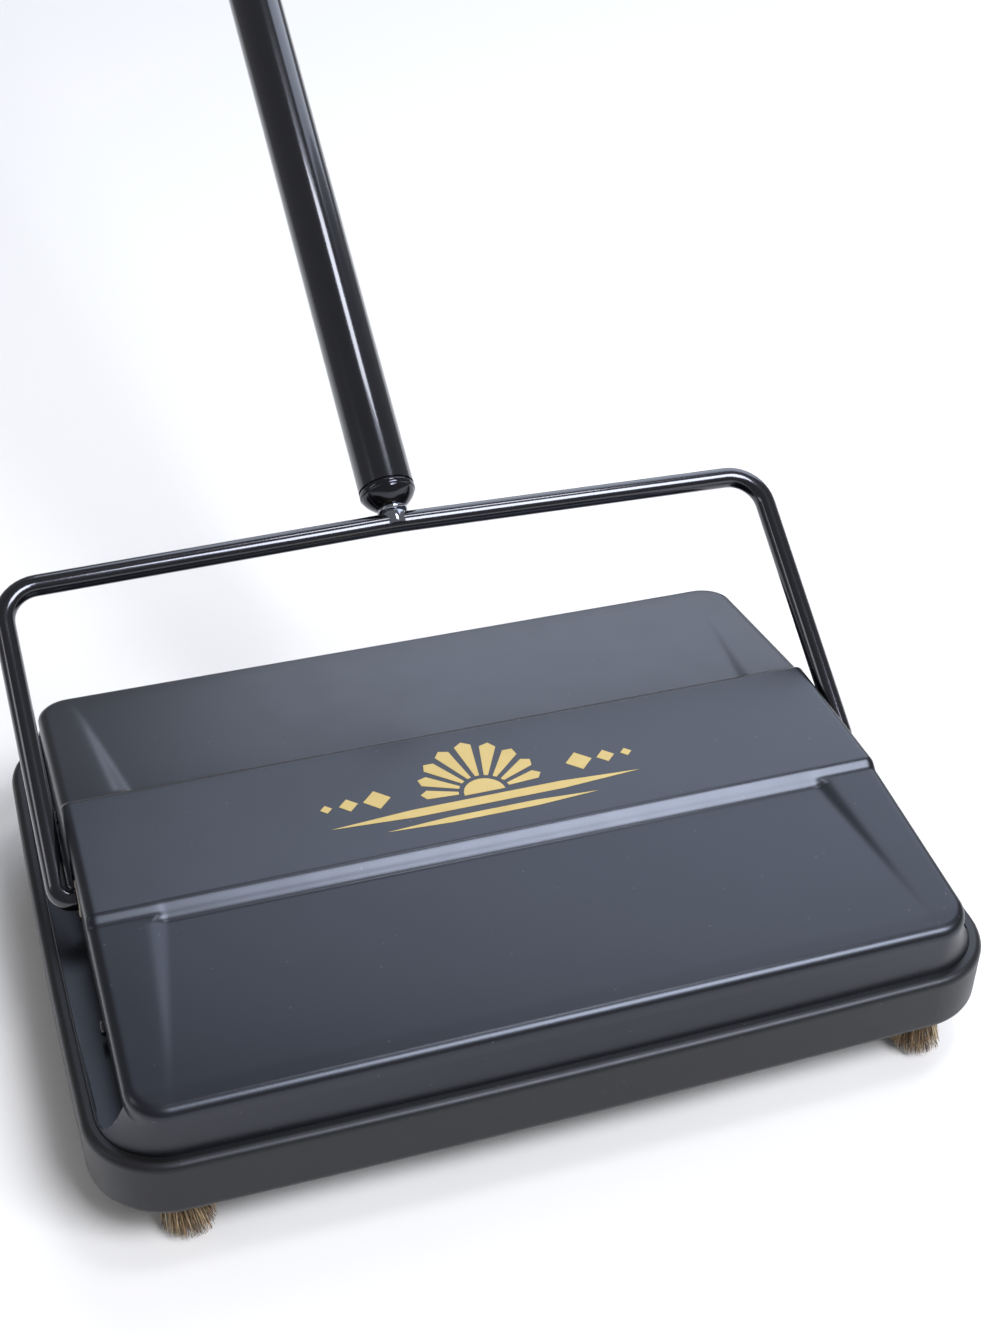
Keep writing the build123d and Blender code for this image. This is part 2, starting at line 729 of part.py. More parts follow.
def round_bar(start, length, radius):
    """A round bar along the handle's axis."""
    with BuildPart() as bar:
        with BuildSketch(handle_plane(start)):
            Circle(radius)
        extrude(amount=length)
    return bar.part


with BuildPart() as bail_stud:
    add(round_bar(bar_top - rod_r, collar_top - bar_top + rod_r, collar_r))
    add(bail.part, mode=Mode.SUBTRACT)
    add(round_bar(collar_top, shank_top - collar_top, shank_r))

with BuildPart() as stud_ring:
    add(round_bar(collar_top - ring_height, ring_height, ring_r))
    add(round_bar(collar_top - ring_height, ring_height, collar_r), mode=Mode.SUBTRACT)

insert_r = tube_r - tube_wall
rim_top = tube_start - plug_groove
rim_foot = rim_top - plug_rim_height
with BuildPart() as handle_plug:
    with BuildSketch(bail_plane):
        Polygon(
            (0, collar_top),
            (collar_r, collar_top),
            (tube_r, rim_foot),
            (tube_r, rim_top),
            (insert_r, rim_top),
            (insert_r, rim_top + plug_insert),
            (0, rim_top + plug_insert),
            align=None,
        )
    revolve(axis=handle_axis)
    add(round_bar(collar_top, shank_top - collar_top, shank_r), mode=Mode.SUBTRACT)


def handle_tube(start, spigot):
    """One section of the handle, whose top is drawn in to a spigot if the next one slides over it."""
    end = start + tube_length
    spigot_r = insert_r - run_fit
    with BuildPart() as tube:
        add(round_bar(start, tube_length, tube_r))
        if spigot:
            add(round_bar(end, spigot_length, spigot_r))
        add(round_bar(start, tube_length - spigot_length / 4, insert_r), mode=Mode.SUBTRACT)
        add(round_bar(start, tube_length + spigot_length, spigot_r - tube_wall), mode=Mode.SUBTRACT)
    return tube.part


tubes = {}
for index, name in enumerate(("lower", "middle", "upper")):
    tubes[name] = handle_tube(tube_start + index * (tube_length + tube_gap), spigot=name != "upper")

grip_start = tubes_end - grip_overlap
grip_end = grip_start + grip_length
hole_at = grip_end - hang_hole_inset
with BuildPart() as handle_grip:
    add(round_bar(grip_start, grip_length, grip_r))
    fillet(handle_grip.edges(), 4.0)
    for side, _ in sides:
        with BuildSketch(bail_plane):
            with Locations((side * (grip_end_thick / 2 + grip_r / 2), grip_end)):
                Rectangle(grip_r, 4 * hang_hole_inset)
        extrude(amount=grip_r, both=True, mode=Mode.SUBTRACT)
    add(round_bar(grip_start, grip_overlap, tube_r), mode=Mode.SUBTRACT)
    add(round_bar(grip_start, grip_overlap + grip_hollow, insert_r), mode=Mode.SUBTRACT)
    hole_y = lean_y * hole_at
    hole_z = bail_pivot_z + lean_z * hole_at
    add(cylinder_x(-grip_r, grip_r, hang_hole_r, hole_y, hole_z), mode=Mode.SUBTRACT)

# ================================================================ write every piece
pieces = {
    "top_cover": top_cover.part,
    "furniture_bumper": furniture_bumper.part,
    "cover_rivets": cover_rivets.part,
    "frame_rivets": frame_rivets.part,
    "brush_shaft": brush_shaft.part,
    "brush_core": brush_core.part,
    "wheel_axles": wheel_axles.part,
    "axle_clips": axle_clips.part,
    "bail": bail.part,
    "bail_clips": bail_clips.part,
    "bail_stud": bail_stud.part,
    "stud_ring": stud_ring.part,
    "handle_plug": handle_plug.part,
    "handle_grip": handle_grip.part,
}
pieces |= {f"end_plate_{name}": part for name, part in end_plates.items()}
pieces |= {f"{name}_rail": part for name, part in rails.items()}
pieces |= {f"bail_bush_{name}": part for name, part in bail_bushes.items()}
pieces |= {f"brush_bearing_{name}": part for name, part in brush_bearings.items()}
pieces |= {f"tuft_socket_{name}": part for name, part in sockets.items()}
pieces |= {f"corner_tuft_{name}": part for name, part in tufts.items()}
pieces |= {f"bristle_row_{index + 1}": part for index, part in enumerate(bristle_rows)}
pieces |= {f"drive_pulley_{name}": part for name, part in pulleys.items()}
pieces |= {f"wheel_hub_{name}": part for name, part in hubs.items()}
pieces |= {f"wheel_tyre_{name}": part for name, part in tyres.items()}
pieces |= {f"{name}_pan": part for name, part in pans.items()}
pieces |= {f"{name}_pan_tab": part for name, part in pan_tabs.items()}
pieces |= {f"{name}_hinge_rod": part for name, part in hinge_rods.items()}
pieces |= {f"{name}_pan_spring": part for name, part in springs.items()}
pieces |= {f"{name}_tube": part for name, part in tubes.items()}

for name, part in pieces.items():
    part.label = name
    export_step(part, f"parts/{name}.step")
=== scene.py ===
"""Looks for a push-along carpet sweeper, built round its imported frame.

The frame gives every piece's place and size. This file adds the pressed steel cover with its soft
folds, the bristles of the brush and the corner tufts, the printed ornament, and a finish for every piece.
"""

import logging
import math
import random
from dataclasses import dataclass, field
from enum import Enum

import bmesh
import bpy
import numpy as np
from mathutils import Matrix, Vector


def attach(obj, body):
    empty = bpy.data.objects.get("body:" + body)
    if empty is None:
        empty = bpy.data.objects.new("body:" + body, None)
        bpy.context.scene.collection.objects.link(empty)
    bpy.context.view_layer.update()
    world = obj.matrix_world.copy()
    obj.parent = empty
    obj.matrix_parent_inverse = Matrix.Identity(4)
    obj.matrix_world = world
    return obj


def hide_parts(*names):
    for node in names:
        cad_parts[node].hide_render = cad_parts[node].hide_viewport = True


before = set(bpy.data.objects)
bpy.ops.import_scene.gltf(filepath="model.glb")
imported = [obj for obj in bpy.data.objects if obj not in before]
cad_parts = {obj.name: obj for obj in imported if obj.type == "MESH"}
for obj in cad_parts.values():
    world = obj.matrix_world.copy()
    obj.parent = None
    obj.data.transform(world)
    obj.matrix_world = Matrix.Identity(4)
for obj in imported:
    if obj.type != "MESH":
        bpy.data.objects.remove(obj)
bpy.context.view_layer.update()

LOG = logging.getLogger("sweeper")
MM = 0.001


# ---------------------------------------------------------------- named options
class Side(Enum):
    """The two ends of the case, seen from behind the handle's user."""

    LEFT = -1
    RIGHT = 1

    @property
    def word(self) -> str:
        """The side's name in lower case."""
        return self.name.lower()


class End(Enum):
    """The front of the case and its rear, where the handle leans."""

    FRONT = -1
    REAR = 1

    @property
    def word(self) -> str:
        """The end's name in lower case."""
        return self.name.lower()


# ---------------------------------------------------------------- small tools
def linear_colour(hex_code: str) -> tuple[float, float, float, float]:
    """Turns an sRGB hex colour into a linear one.

    Args:
        hex_code: six hex digits after a hash sign.

    Returns:
        Red, green, blue and an alpha of 1.
    """
    channels = [int(hex_code[i : i + 2], 16) / 255 for i in (1, 3, 5)]
    red, green, blue = (c / 12.92 if c <= 0.04045 else ((c + 0.055) / 1.055) ** 2.4 for c in channels)
    return (red, green, blue, 1.0)


def add_node(
    tree: bpy.types.NodeTree,
    kind: str,
    settings: dict | None = None,
    links: dict | None = None,
) -> bpy.types.Node:
    """Adds one shader node with its settings and its incoming links.

    Args:
        tree: the node tree to add to.
        kind: the node's type name.
        settings: attribute or socket name (or socket number) to value.
        links: socket name or number to the output that feeds it.

    Returns:
        The new node.
    """
    node = tree.nodes.new(kind)
    for key, value in (settings or {}).items():
        if isinstance(key, str) and hasattr(node, key):
            setattr(node, key, value)
        else:
            node.inputs[key].default_value = value
    for key, source in (links or {}).items():
        tree.links.new(source, node.inputs[key])
    return node


def mesh_piece(
    name: str,
    points: np.ndarray,
    faces: list[tuple[int, ...]],
    body: str,
    smooth: bool = True,
) -> bpy.types.Object:
    """Makes one mesh object from points in millimetres and sets it riding on a body.

    Args:
        name: the piece's name.
        points: an array of X, Y, Z rows in millimetres.
        faces: vertex numbers of each face.
        body: the frame's body that carries the piece.
        smooth: whether the faces are shaded smooth.

    Returns:
        The new object.
    """
    mesh = bpy.data.meshes.new(name)
    mesh.from_pydata((np.asarray(points, float) * MM).tolist(), [], faces)
    mesh.polygons.foreach_set("use_smooth", [smooth] * len(mesh.polygons))
    mesh.update()
    piece = bpy.data.objects.new(name, mesh)
    bpy.context.scene.collection.objects.link(piece)
    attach(piece, body)
    return piece


def baked(piece: bpy.types.Object) -> None:
    """Applies every modifier of a piece to its mesh.

    Args:
        piece: the object whose modifiers are applied and removed.
    """
    graph = bpy.context.evaluated_depsgraph_get()
    finished = bpy.data.meshes.new_from_object(piece.evaluated_get(graph))
    piece.modifiers.clear()
    piece.data = finished


def dress(piece: bpy.types.Object, material: bpy.types.Material) -> None:
    """Gives a piece one material.

    Args:
        piece: a piece or a carried-over node.
        material: the finish to put on every face of it.
    """
    piece.data.materials.clear()
    piece.data.materials.append(material)
    for slot in piece.material_slots:
        slot.link = "DATA"
        slot.material = material


# ---------------------------------------------------------------- finishes
@dataclass(frozen=True)
class Finish:
    """A plain moulded, painted or plated surface: mottled colour, uneven gloss and a fine relief."""

    label: str
    colour: str
    shade: str
    roughness: float
    roughness_swing: float = 0.05
    metallic: float = 0.0
    ior: float = 1.5
    tint: str = "#ffffff"
    coat: float = 0.0
    coat_roughness: float = 0.05
    mottle_mm: float = 18.0
    grain_mm: float = 0.6
    grain_depth_mm: float = 0.006
    stretch: tuple[float, float, float] = (1.0, 1.0, 1.0)

    def coordinates(self, tree: bpy.types.NodeTree) -> bpy.types.NodeSocket:
        """The piece's own coordinates in metres, which stay with it as it moves."""
        where = add_node(tree, "ShaderNodeTexCoord")
        stretched = add_node(
            tree, "ShaderNodeMapping", {"Scale": self.stretch}, {"Vector": where.outputs["Object"]}
        )
        return stretched.outputs["Vector"]

    def noise(
        self, tree: bpy.types.NodeTree, place: bpy.types.NodeSocket, size_mm: float, detail: float
    ) -> bpy.types.NodeSocket:
        """Adds a noise whose features are about size_mm across.

        Args:
            tree: the node tree to add to.
            place: the coordinates that the noise reads.
            size_mm: the features' size.
            detail: how many finer layers it has.

        Returns:
            The noise's value, from 0 to 1.
        """
        made = add_node(
            tree,
            "ShaderNodeTexNoise",
            {"Scale": 1.0 / (size_mm * MM), "Detail": detail, "Roughness": 0.55},
            {"Vector": place},
        )
        return made.outputs["Fac"]

    def colours(self, tree: bpy.types.NodeTree, place: bpy.types.NodeSocket) -> bpy.types.NodeSocket:
        """The surface's colour: two near shades in soft patches."""
        patches = self.noise(tree, place, self.mottle_mm, 3.0)
        mixed = add_node(
            tree,
            "ShaderNodeMix",
            {"data_type": "RGBA", 6: linear_colour(self.colour), 7: linear_colour(self.shade)},
            {0: patches},
        )
        return mixed.outputs[2]

    def relief(self, tree: bpy.types.NodeTree, place: bpy.types.NodeSocket) -> bpy.types.NodeSocket:
        """The height of the surface's fine relief, from 0 to 1."""
        return self.noise(tree, place, self.grain_mm, 2.0)

    def material(self) -> bpy.types.Material:
        """Builds the material.

        Returns:
            A new material with this finish.
        """
        made = bpy.data.materials.new(self.label)
        made.use_nodes = True
        tree = made.node_tree
        shader = tree.nodes["Principled BSDF"]
        place = self.coordinates(tree)
        swing = add_node(
            tree,
            "ShaderNodeMapRange",
            {
                "To Min": max(0.02, self.roughness - self.roughness_swing),
                "To Max": min(1.0, self.roughness + self.roughness_swing),
            },
            {"Value": self.noise(tree, place, self.mottle_mm / 3, 2.0)},
        )
        bump = add_node(
            tree,
            "ShaderNodeBump",
            {"Strength": 1.0, "Distance": self.grain_depth_mm * MM},
            {"Height": self.relief(tree, place)},
        )
        tree.links.new(self.colours(tree, place), shader.inputs["Base Color"])
        tree.links.new(swing.outputs["Result"], shader.inputs["Roughness"])
        tree.links.new(bump.outputs["Normal"], shader.inputs["Normal"])
        shader.inputs["Metallic"].default_value = self.metallic
        shader.inputs["IOR"].default_value = self.ior
        shader.inputs["Specular Tint"].default_value = linear_colour(self.tint)
        shader.inputs["Coat Weight"].default_value = self.coat
        shader.inputs["Coat Roughness"].default_value = self.coat_roughness
        made.diffuse_color = linear_colour(self.colour)
        return made


@dataclass(frozen=True)
class DustedFinish(Finish):
    """A surface that holds a little pale dust in specks."""

    speck: str = "#8c8a86"
    speck_mm: float = 2.5
    speck_share: float = 0.04

    def colours(self, tree: bpy.types.NodeTree, place: bpy.types.NodeSocket) -> bpy.types.NodeSocket:
        """The plain colour with fine specks of dust over it."""
        plain = super().colours(tree, place)
        cells = add_node(
            tree, "ShaderNodeTexVoronoi", {"Scale": 1.0 / (self.speck_mm * MM)}, {"Vector": place}
        )
        inside = add_node(
            tree,
            "ShaderNodeMapRange",
            {"From Min": 0.06, "From Max": 0.02, "To Max": self.speck_share * 6},
            {"Value": cells.outputs["Distance"]},
        )
        mixed = add_node(
            tree,
            "ShaderNodeMix",
            {"data_type": "RGBA", 7: linear_colour(self.speck)},
            {0: inside.outputs["Result"], 6: plain},
        )
        return mixed.outputs[2]


@dataclass(frozen=True)
class SpangledZinc(Finish):
    """Hot-dipped zinc on sheet steel: flat crystals, each with its own grey."""

    crystal_mm: float = 5.0

    def colours(self, tree: bpy.types.NodeTree, place: bpy.types.NodeSocket) -> bpy.types.NodeSocket:
        """Crystal patches of two greys."""
        cells = add_node(
            tree, "ShaderNodeTexVoronoi", {"Scale": 1.0 / (self.crystal_mm * MM)}, {"Vector": place}
        )
        grey = add_node(tree, "ShaderNodeSeparateColor", {}, {"Color": cells.outputs["Color"]})
        mixed = add_node(
            tree,
            "ShaderNodeMix",
            {"data_type": "RGBA", 6: linear_colour(self.colour), 7: linear_colour(self.shade)},
            {0: grey.outputs[0]},
        )
        return mixed.outputs[2]


@dataclass(frozen=True)
class TurnedBeech(Finish):
    """Beech turned on a lathe: a pink-tan ground with short darker flecks along the grain."""

    fleck: str = "#8a5a34"
    fleck_mm: float = 0.9

    def colours(self, tree: bpy.types.NodeTree, place: bpy.types.NodeSocket) -> bpy.types.NodeSocket:
        """The ground in soft bands, with flecks drawn out along the grain."""
        ground = super().colours(tree, place)
        drawn = add_node(tree, "ShaderNodeMapping", {"Scale": (0.12, 1.0, 1.0)}, {"Vector": place})
        flecks = add_node(
            tree,
            "ShaderNodeMapRange",
            {"From Min": 0.58, "From Max": 0.72, "To Max": 0.8},
            {"Value": self.noise(tree, drawn.outputs["Vector"], self.fleck_mm, 1.0)},
        )
        mixed = add_node(
            tree,
            "ShaderNodeMix",
            {"data_type": "RGBA", 7: linear_colour(self.fleck)},
            {0: flecks.outputs["Result"], 6: ground},
        )
        return mixed.outputs[2]


@dataclass(frozen=True)
class Hog(Finish):
    """Natural hog bristle: each hair its own brown, tan or near black."""

    hairs: tuple[str, ...] = ("#17120e", "#3b2a1b", "#6d5236", "#a98a5f", "#d8c39a")

    def colours(self, tree: bpy.types.NodeTree, place: bpy.types.NodeSocket) -> bpy.types.NodeSocket:
        """One colour for each hair, picked from the bristle's range."""
        hair = add_node(tree, "ShaderNodeNewGeometry")
        ramp = add_node(tree, "ShaderNodeValToRGB", {}, {"Fac": hair.outputs["Random Per Island"]})
        stops = ramp.color_ramp.elements
        while len(stops) < len(self.hairs):
            stops.new(0.5)
        for index, code in enumerate(self.hairs):
            stops[index].position = index / (len(self.hairs) - 1)
            stops[index].color = linear_colour(code)
        return ramp.outputs["Color"]

    def relief(self, tree: bpy.types.NodeTree, place: bpy.types.NodeSocket) -> bpy.types.NodeSocket:
        """A faint waviness along each hair."""
        return self.noise(tree, place, self.grain_mm, 1.0)


# Satin stove enamel on pressed steel: sprayed and baked, so it has a faint orange peel and a soft sheen.
COVER_ENAMEL = DustedFinish(
    "satin_stove_enamel", "#09090b", "#0d0d0f", 0.31, 0.03, ior=1.58, tint="#e6eeff",
    mottle_mm=40.0, grain_mm=1.1, grain_depth_mm=0.004, speck_mm=7.0, speck_share=0.03,
)
# Soft black rubber, moulded in one strip: a dull bloom, with the skin's fine matt grain.
BUMPER_RUBBER = DustedFinish(
    "moulded_bumper_rubber", "#0f0f0e", "#141312", 0.42, 0.05, ior=1.48, tint="#f0f3ff",
    mottle_mm=25.0, grain_mm=0.7, grain_depth_mm=0.008, speck_mm=5.0, speck_share=0.04,
)
# Gloss enamel dipped over drawn rod and tube: deep black with sharp streaks of light.
GLOSS_ENAMEL = Finish(
    "gloss_black_enamel", "#040405", "#070708", 0.17, 0.03, ior=1.6, tint="#eceffe", coat=0.5,
    coat_roughness=0.04, mottle_mm=60.0, grain_mm=3.0, grain_depth_mm=0.004,
)
# Injection-moulded ABS from a polished mould: near the enamel's gloss, a shade softer.
GLOSS_ABS = Finish(
    "polished_black_abs", "#050506", "#08080a", 0.1, 0.03, ior=1.58, tint="#eef0ff",
    mottle_mm=20.0, grain_mm=1.5, grain_depth_mm=0.004,
)
# Moulded polypropylene with a spark-eroded mould texture: a matt, pebbled grip.
GRIP_PLASTIC = Finish(
    "pebbled_grip_polypropylene", "#141416", "#1a1a1d", 0.52, 0.05, ior=1.49,
    mottle_mm=15.0, grain_mm=0.8, grain_depth_mm=0.05,
)
# Glass-filled nylon, moulded black: a dry sheen with faint flow marks.
HUB_NYLON = Finish(
    "black_filled_nylon", "#17171a", "#222226", 0.42, 0.08, ior=1.53,
    mottle_mm=8.0, grain_mm=0.6, grain_depth_mm=0.01,
)
# Natural nylon bushes, turned from rod: milky, a little translucent to the eye.
BUSH_NYLON = Finish(
    "natural_nylon", "#d9d3c2", "#c8c0aa", 0.38, 0.05, ior=1.53,
    mottle_mm=4.0, grain_mm=0.5, grain_depth_mm=0.01,
)
# Grey-black tyre rubber, dusty from the floor.
TYRE_RUBBER = DustedFinish(
    "tyre_rubber", "#26262a", "#34333a", 0.68, 0.07, ior=1.52,
    mottle_mm=9.0, grain_mm=0.5, grain_depth_mm=0.02, speck_mm=3.0, speck_share=0.08,
)
# Hot-dipped sheet steel, folded: grey spangles with a soft metal gloss.
ZINC_SHEET = SpangledZinc(
    "spangled_zinc_sheet", "#9a9fa3", "#b9bec2", 0.36, 0.07, metallic=1.0,
    mottle_mm=14.0, grain_mm=0.9, grain_depth_mm=0.004, crystal_mm=5.0,
)
# Bright drawn steel: fine lines along the bar from the die.
DRAWN_STEEL = Finish(
    "bright_drawn_steel", "#b4b4b4", "#8f9092", 0.24, 0.08, metallic=1.0,
    mottle_mm=6.0, grain_mm=0.25, grain_depth_mm=0.004, stretch=(0.06, 1.0, 1.0),
)
# Nickel and chromium plate over turned steel: a mirror, darkened by what stands round it.
CHROME = Finish(
    "chromium_plate", "#8d9098", "#a2a5ad", 0.07, 0.02, metallic=1.0,
    mottle_mm=6.0, grain_mm=0.8, grain_depth_mm=0.001,
)
# Beech, turned and left bare inside the case.
CORE_BEECH = TurnedBeech(
    "turned_beech", "#c79b6b", "#b78556", 0.55, 0.06, ior=1.5,
    mottle_mm=16.0, grain_mm=0.7, grain_depth_mm=0.03, stretch=(0.15, 1.0, 1.0),
)
# Dark hog bristle in the brush.
BRUSH_HAIR = Hog(
    "dark_hog_bristle", "#2a2019", "#17120e", 0.42, 0.08, ior=1.54, grain_mm=0.8, grain_depth_mm=0.02,
    hairs=("#0f0c0a", "#1b1512", "#2a1f17", "#3e2d1f", "#5b432c"),
)
# Mixed natural hog bristle in the corner tufts: tan, brown and near black hairs side by side.
TUFT_HAIR = Hog(
    "mixed_hog_bristle", "#7a5f42", "#4a3826", 0.45, 0.08, ior=1.54, grain_mm=0.8, grain_depth_mm=0.02,
    hairs=("#1f1812", "#4f3b28", "#86694a", "#b89a70", "#dccaa4"),
)
# Pale gold ink, screen printed: a thin matt film with metal flake in it.
GOLD_INK = Finish(
    "screen_printed_gold_ink", "#c8b070", "#b99f5c", 0.42, 0.06, metallic=0.35,
    mottle_mm=9.0, grain_mm=0.35, grain_depth_mm=0.003,
)
# Matt emulsion on a studio table.
TABLE_PAINT = Finish(
    "pale_studio_emulsion", "#efece7", "#ecebe6", 0.8, 0.02, ior=1.4,
    mottle_mm=400.0, grain_mm=6.0, grain_depth_mm=0.002,
)


# ---------------------------------------------------------------- the pressed cover
def ramp(t: np.ndarray, width: float) -> np.ndarray:
    """A ramp that starts at t = 0, its corner rounded over width on each side.

    Args:
        t: distances past the corner.
        width: half the length of the rounding.

    Returns:
        0 well before the corner and t well after it.
    """
    return np.where(t <= -width, 0.0, np.where(t >= width, t, (t + width) ** 2 / (4 * width)))


def bent_line(t: np.ndarray, points: list[tuple[float, float]], width: float) -> np.ndarray:
    """The height of a line through points, with each corner rounded.

    Args:
        t: where to read the line.
        points: (distance, height) pairs; the first run and the last go on straight.
        width: half the length of each corner's rounding.

    Returns:
        The heights at t.
    """
    slopes = [(b[1] - a[1]) / (b[0] - a[0]) for a, b in zip(points, points[1:])]
    height = points[0][1] + slopes[0] * (t - points[0][0])
    for (corner, _), before, after in zip(points[1:], slopes, slopes[1:]):
        height = height + (after - before) * ramp(t - corner, width)
    return height


@dataclass
class PressedCover:
    """The case's cover, pressed from one sheet of steel. Sizes in millimetres."""

    lid_x: float = 125.0
    lid_y: float = 95.5
    lid_corner: float = 11.0
    edge_round: float = 3.0
    skirt_x: float = 133.8
    skirt_y: float = 96.7
    skirt_corner: float = 20.0
    skirt_bow: float = 1.5
    bow_share_x: float = 0.62
    bow_share_y: float = 0.72
    skirt_foot: float = 16.2
    shoulder: float = 35.0
    wall_foot: float = 46.0
    channel: float = 34.5
    channel_end: float = 84.0
    channel_lip: float = 0.8
    channel_round: float = 3.2
    band: float = 62.0
    band_y: float = 26.0
    eave: float = 51.5
    step: float = 4.0
    border_step: float = 2.6
    border_drop: float = 1.8
    recess_drop: float = 3.2
    border_end: float = 88.0
    recess_end: float = 84.0
    crease_x: float = 103.0
    crease_spread: float = 9.0
    crease_run: float = 4.2
    fold: float = 0.9
    sheet: float = 0.8
    arch: float = 14.0
    arch_inner: float = 12.4
    arch_foot_gap: float = 0.2
    arch_from: float = 121.0
    arch_run: float = 7.0
    notches: int = 11
    notch_step: float = 20.0
    notch_half: float = 4.5
    pivot: float = 46.0

    def slope_height(self, away: np.ndarray) -> np.ndarray:
        """The plain roof's height at a distance from the middle."""
        return self.band - (self.band - self.eave) / (self.lid_y - self.band_y) * (away - self.band_y)

    def roof(self, x: np.ndarray, y: np.ndarray) -> np.ndarray:
        """The height of the pressed roof.

        Args:
            x: places across the case.
            y: places along it.

        Returns:
            The roof's outer heights, with every fold softened.
        """
        away = np.abs(y)
        step_end = self.band_y + self.step
        floor_start = step_end + 0.5
        border_foot = self.band_y + self.border_step
        border = bent_line(
            away,
            [
                (0.0, self.band),
                (self.band_y, self.band),
                (border_foot, float(self.slope_height(border_foot)) - self.border_drop),
                (self.border_end, float(self.slope_height(self.border_end))),
                (self.lid_y, self.eave),
            ],
            self.fold * 0.8,
        )
        floor = bent_line(
            away,
            [
                (self.band_y, self.band + 0.05),
                (floor_start, float(self.slope_height(step_end)) - self.recess_drop),
                (self.recess_end, float(self.slope_height(self.recess_end))),
            ],
            self.fold,
        )
        opening = np.clip((away - floor_start) / (self.recess_end - floor_start), 0.0, 1.2)
        edge = self.crease_x + self.crease_spread * opening
        side_slope = (self.recess_drop - self.border_drop) / self.crease_run
        recess = floor + side_slope * ramp(np.abs(x) - edge, self.fold)
        return 0.5 * (border + recess - np.sqrt((border - recess) ** 2 + 0.12))

    def lines(self, half: float, fine: list[tuple[float, float, float]], coarse: float) -> np.ndarray:
        """Grid lines from -half to half, close together where the sheet is folded.

        Args:
            half: the last line's place.
            fine: (from, to, spacing) stretches, in order outwards.
            coarse: the spacing elsewhere.

        Returns:
            The lines' places in order.
        """
        places = [0.0]
        stretches = []
        reached = 0.0
        for start, stop, gap in fine:
            stretches += [(reached, start, coarse), (start, stop, gap)]
            reached = stop
        stretches.append((reached, half, coarse))
        for start, stop, gap in stretches:
            count = max(1, round((stop - start) / gap)) if stop > start else 0
            places += [start + (stop - start) * (k + 1) / count for k in range(count)]
        outward = np.array(places)
        return np.concatenate([-outward[:0:-1], outward])

    def rounded(self, x: np.ndarray, y: np.ndarray, straight_x: float, straight_y: float) -> tuple:
        """Pulls the corner squares of a grid in to quarter circles.

        Args:
            x: places across, up to the grid's edge.
            y: places along, up to the grid's edge.
            straight_x: where the corners start across.
            straight_y: where they start along.

        Returns:
            The new places.
        """
        out_x = np.maximum(np.abs(x) - straight_x, 0.0)
        out_y = np.maximum(np.abs(y) - straight_y, 0.0)
        reach = np.hypot(out_x, out_y)
        scale = np.where(reach > 0, np.maximum(out_x, out_y) / np.maximum(reach, 1e-9), 1.0)
        corner = (out_x > 0) & (out_y > 0)
        new_x = np.where(corner, np.sign(x) * (straight_x + out_x * scale), x)
        new_y = np.where(corner, np.sign(y) * (straight_y + out_y * scale), y)
        return new_x, new_y

    def loop(self, edge: np.ndarray, grow: float) -> np.ndarray:
        """The lid's outline at the grid's edge places, pushed out by grow.

        Args:
            edge: X, Y rows on the edge of the rounded grid.
            grow: how far out, along the outline's own normals.

        Returns:
            X, Y rows.
        """
        return edge + self.normals(edge) * grow

    def normals(self, edge: np.ndarray) -> np.ndarray:
        """Outward directions at places on the edge of the rounded grid."""
        straight_x = self.lid_x - self.lid_corner
        straight_y = self.lid_y - self.lid_corner
        core_x = np.clip(edge[:, 0], -straight_x, straight_x)
        core_y = np.clip(edge[:, 1], -straight_y, straight_y)
        core = np.stack([core_x, core_y], axis=1)
        away = edge - core
        return away / np.linalg.norm(away, axis=1, keepdims=True)

    def skirt_loop(self, edge: np.ndarray) -> np.ndarray:
        """The skirt's bowed outline, one place for each place on the lid's edge.

        Args:
            edge: X, Y rows on the edge of the rounded grid.

        Returns:
            X, Y rows on the skirt's shoulder.
        """
        straight_x = self.lid_x - self.lid_corner
        straight_y = self.lid_y - self.lid_corner
        heading = np.abs(self.normals(edge))
        centre_x = self.skirt_x - self.skirt_bow * self.bow_share_x - self.skirt_corner
        centre_y = self.skirt_y - self.skirt_bow * self.bow_share_y - self.skirt_corner
        size_x, size_y = np.abs(edge[:, 0]), np.abs(edge[:, 1])
        past = np.clip(size_y - centre_y, 0.0, self.skirt_corner)
        bowed = self.skirt_x - self.skirt_bow * (size_y / self.skirt_y) ** 2
        side_x = np.where(past > 0, centre_x + np.sqrt(self.skirt_corner**2 - past**2), bowed)
        along_x = size_x * centre_x / straight_x
        front_y = self.skirt_y - self.skirt_bow * (along_x / self.skirt_x) ** 2
        first_turn = math.asin((straight_y - centre_y) / self.skirt_corner)
        turn = first_turn + np.arctan2(heading[:, 1], heading[:, 0]) * (1 - first_turn / (math.pi / 2))
        on_side = heading[:, 0] > 0.9999
        on_front = heading[:, 1] > 0.9999
        corner_x = centre_x + self.skirt_corner * np.cos(turn)
        corner_y = centre_y + self.skirt_corner * np.sin(turn)
        out_x = np.where(on_side, side_x, np.where(on_front, along_x, corner_x))
        out_y = np.where(on_side, size_y, np.where(on_front, front_y, corner_y))
        return np.stack([np.sign(edge[:, 0]) * out_x, np.sign(edge[:, 1]) * out_y], axis=1)

    def rings(self, edge: np.ndarray) -> list[np.ndarray]:
        """Rings of places from the roof's edge down to the skirt's foot.

        Args:
            edge: X, Y rows on the edge of the rounded grid.

        Returns:
            One array of X, Y, Z rows for each ring, from the top down.
        """
        made = []
        for turn in np.radians([12, 24, 36, 48, 60, 72, 82, 90]):
            flat = self.loop(edge, self.edge_round * math.sin(turn))
            height = self.roof(flat[:, 0], flat[:, 1]) - self.edge_round * (1 - math.cos(turn))
            made.append(np.column_stack([flat, height]))
        wall = made[-1]
        skirt = self.skirt_loop(edge)
        width = np.linalg.norm(skirt - wall[:, :2], axis=1)

